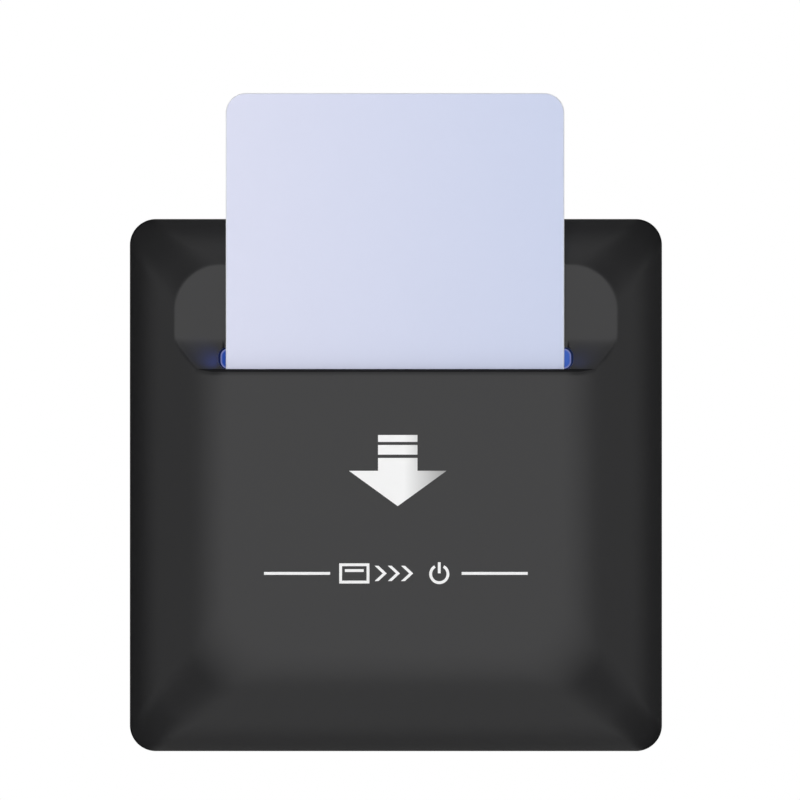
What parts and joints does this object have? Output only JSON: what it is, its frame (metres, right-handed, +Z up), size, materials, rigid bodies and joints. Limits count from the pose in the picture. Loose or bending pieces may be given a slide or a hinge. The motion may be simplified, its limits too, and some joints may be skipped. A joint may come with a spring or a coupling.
{
  "type": "hotel key card switch",
  "caption": "Square wall switch with a front pocket: a room card stood in its lit slot presses a sprung shoe and microswitch that turn the room's power on.",
  "frame": {"origin": "midpoint of the two fixing screws on the wall's face", "axes": "+Z up, +X to the viewer's right, front of the plate faces -Y, +Y points into the wall"},
  "size_m": [0.086, 0.04, 0.1057],
  "materials": {
    "cover_plastic": "fine satin moulding, charcoal",
    "light_guide": "clear blue-lit moulding",
    "inner_plastic": "moulded, black",
    "housing_plastic": "spark-eroded texture, dark grey",
    "card_plastic": "pale satin card",
    "shoe_plastic": "moulded acetal, grey",
    "switch_case": "moulded, black",
    "plunger_plastic": "moulded, red",
    "spring_steel": "bright spring steel",
    "zinc_steel": "zinc plated",
    "brass": "turned",
    "circuit_board": "solder mask, green",
    "lamp": "moulded lamp",
    "relay_case": "moulded, blue",
    "film_case": "moulded, yellow",
    "can_sleeve": "shrunk sleeve",
    "disc_coat": "dipped coating"
  },
  "bodies": {
    "base": {"front_cover": "cover_plastic", "light_guide": "light_guide", "card_guide": "inner_plastic", "guide_screws": "zinc_steel", "grip_springs": "spring_steel", "shoe_spring": "spring_steel", "microswitch_case": "switch_case", "lever_pin": "zinc_steel", "switch_terminals": "brass", "sensor_board": "circuit_board", "board_screws": "zinc_steel", "indicator_lamps": "lamp", "board_header": "switch_case", "mounting_frame": "inner_plastic", "frame_screws": "zinc_steel", "rear_housing": "housing_plastic", "main_board": "circuit_board", "main_board_screws": "zinc_steel", "relay": "relay_case", "film_capacitor": "film_case", "smoothing_capacitor": "can_sleeve", "varistor": "disc_coat", "timer_chip": "switch_case", "terminal_carrier": "inner_plastic", "terminal_pillars": "brass", "terminal_screws": "zinc_steel"},
    "shoe": {"card_shoe": "shoe_plastic"},
    "card": {"key_card": "card_plastic"},
    "lever": {"switch_lever": "spring_steel"},
    "plunger": {"switch_plunger": "plunger_plastic"}
  },
  "joints": [
    {"name": "shoe_slide", "type": "slide", "parent": "base", "child": "shoe", "axis": [0, 0, 1], "range_m": [0, 0.003], "stiffness_N_per_m": 100, "springref_m": 0.006, "deforming": ["shoe_spring"]},
    {"name": "card_slide", "type": "slide", "parent": "shoe", "child": "card", "axis": [0, 0, 1], "range_m": [0, 0.07]},
    {"name": "lever_hinge", "type": "hinge", "parent": "base", "child": "lever", "pos_m": [0.0193, -0.0055, -0.00819], "axis": [0, 1, 0], "range_deg": [0, 13]},
    {"name": "plunger_slide", "type": "slide", "parent": "base", "child": "plunger", "axis": [0, 0, 1], "range_m": [0, 0.0006]}
  ],
  "couplings": [
    {"joint": "lever_hinge", "follows": "shoe_slide", "rad_per_m": 75.6},
    {"joint": "plunger_slide", "follows": "shoe_slide", "ratio": 0.2}
  ]
}
